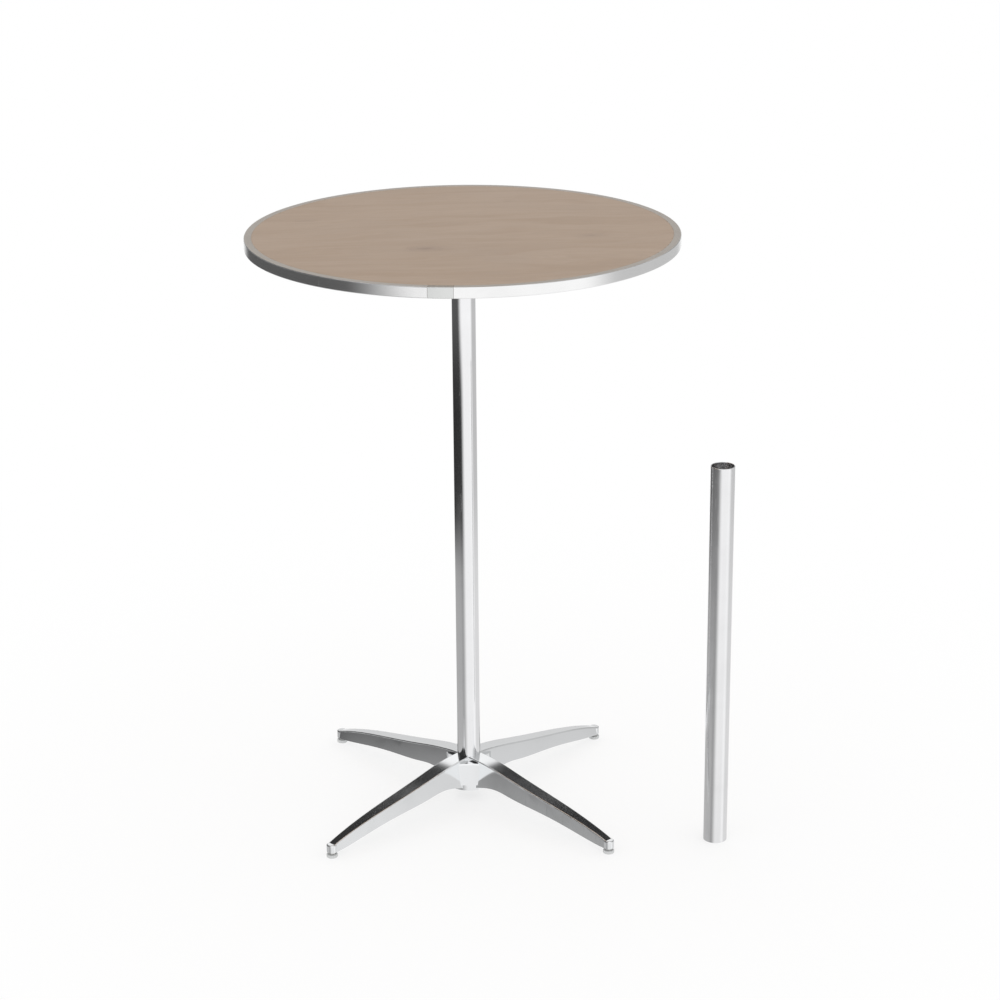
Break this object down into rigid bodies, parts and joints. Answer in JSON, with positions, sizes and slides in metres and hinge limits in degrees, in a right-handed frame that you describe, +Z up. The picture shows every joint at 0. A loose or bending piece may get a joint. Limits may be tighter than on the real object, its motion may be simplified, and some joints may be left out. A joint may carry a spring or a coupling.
{
  "type": "tall cocktail table",
  "caption": "Standing-height round cocktail table: wood top in a metal edge band, chrome column on an arched cross base, with a spare short column for a low table.",
  "frame": {"origin": "on the floor under the column's axis", "axes": "+Z up along the column, -Y towards the viewer, legs on the diagonals of X and Y"},
  "size_m": [0.8452, 0.762, 1.0811],
  "materials": {
    "top_wood": "clear matt lacquer",
    "band_metal": "polished",
    "infill_metal": "satin",
    "fixing_steel": "zinc plated",
    "plate_paint": "satin black",
    "column_chrome": "polished",
    "short_column_chrome": "polished",
    "base_metal": "polished casting",
    "knob_plastic": "moulded",
    "glide_plastic": "moulded nylon"
  },
  "bodies": {
    "table": {"tabletop_panel": "top_wood", "edge_band": "band_metal", "edge_band_infill": "infill_metal", "edge_band_screws": "fixing_steel", "mounting_plate": "plate_paint", "plate_screws": "fixing_steel", "plate_stud": "fixing_steel", "column_collar": "plate_paint", "column_tube": "column_chrome", "column_lower_plug": "fixing_steel", "column_upper_plug": "fixing_steel", "base_casting": "base_metal"},
    "clamp_washer": {"clamp_washer": "fixing_steel"},
    "clamp_knob": {"clamp_knob": "knob_plastic", "clamp_bolt": "fixing_steel"},
    "short_column": {"short_column_tube": "short_column_chrome", "short_column_lower_plug": "fixing_steel", "short_column_upper_plug": "fixing_steel"},
    "glide_pad_back_right": {"glide_pad_back_right": "glide_plastic"},
    "glide_stem_back_right": {"glide_stem_back_right": "fixing_steel"},
    "glide_pad_back_left": {"glide_pad_back_left": "glide_plastic"},
    "glide_stem_back_left": {"glide_stem_back_left": "fixing_steel"},
    "glide_pad_front_left": {"glide_pad_front_left": "glide_plastic"},
    "glide_stem_front_left": {"glide_stem_front_left": "fixing_steel"},
    "glide_pad_front_right": {"glide_pad_front_right": "glide_plastic"},
    "glide_stem_front_right": {"glide_stem_front_right": "fixing_steel"}
  },
  "joints": [
    {"name": "clamp_drop", "type": "slide", "parent": "table", "child": "clamp_washer", "axis": [0, 0, -1], "range_m": [0, 0.008]},
    {"name": "clamp_turn", "type": "hinge", "parent": "clamp_washer", "child": "clamp_knob", "pos_m": [0, 0, 0.03], "axis": [0, 0, -1], "range_deg": [0, 1925]},
    {"name": "short_column_lift", "type": "slide", "parent": "table", "child": "short_column", "axis": [0, 0, 1], "range_m": [0, 0.4]},
    {"name": "glide_drop_back_right", "type": "slide", "parent": "table", "child": "glide_pad_back_right", "axis": [0, 0, -1], "range_m": [0, 0.004]},
    {"name": "glide_turn_back_right", "type": "hinge", "parent": "glide_pad_back_right", "child": "glide_stem_back_right", "pos_m": [0.24749, 0.24749, 0.01], "axis": [0, 0, -1], "range_deg": [0, 1157]},
    {"name": "glide_drop_back_left", "type": "slide", "parent": "table", "child": "glide_pad_back_left", "axis": [0, 0, -1], "range_m": [0, 0.004]},
    {"name": "glide_turn_back_left", "type": "hinge", "parent": "glide_pad_back_left", "child": "glide_stem_back_left", "pos_m": [-0.24749, 0.24749, 0.01], "axis": [0, 0, -1], "range_deg": [0, 1157]},
    {"name": "glide_drop_front_left", "type": "slide", "parent": "table", "child": "glide_pad_front_left", "axis": [0, 0, -1], "range_m": [0, 0.004]},
    {"name": "glide_turn_front_left", "type": "hinge", "parent": "glide_pad_front_left", "child": "glide_stem_front_left", "pos_m": [-0.24749, -0.24749, 0.01], "axis": [0, 0, -1], "range_deg": [0, 1157]},
    {"name": "glide_drop_front_right", "type": "slide", "parent": "table", "child": "glide_pad_front_right", "axis": [0, 0, -1], "range_m": [0, 0.004]},
    {"name": "glide_turn_front_right", "type": "hinge", "parent": "glide_pad_front_right", "child": "glide_stem_front_right", "pos_m": [0.24749, -0.24749, 0.01], "axis": [0, 0, -1], "range_deg": [0, 1157]}
  ],
  "couplings": [
    {"joint": "clamp_turn", "follows": "clamp_drop", "rad_per_m": 4188.8},
    {"joint": "glide_turn_back_right", "follows": "glide_drop_back_right", "rad_per_m": 5026.5},
    {"joint": "glide_turn_back_left", "follows": "glide_drop_back_left", "rad_per_m": 5026.5},
    {"joint": "glide_turn_front_left", "follows": "glide_drop_front_left", "rad_per_m": 5026.5},
    {"joint": "glide_turn_front_right", "follows": "glide_drop_front_right", "rad_per_m": 5026.5}
  ]
}
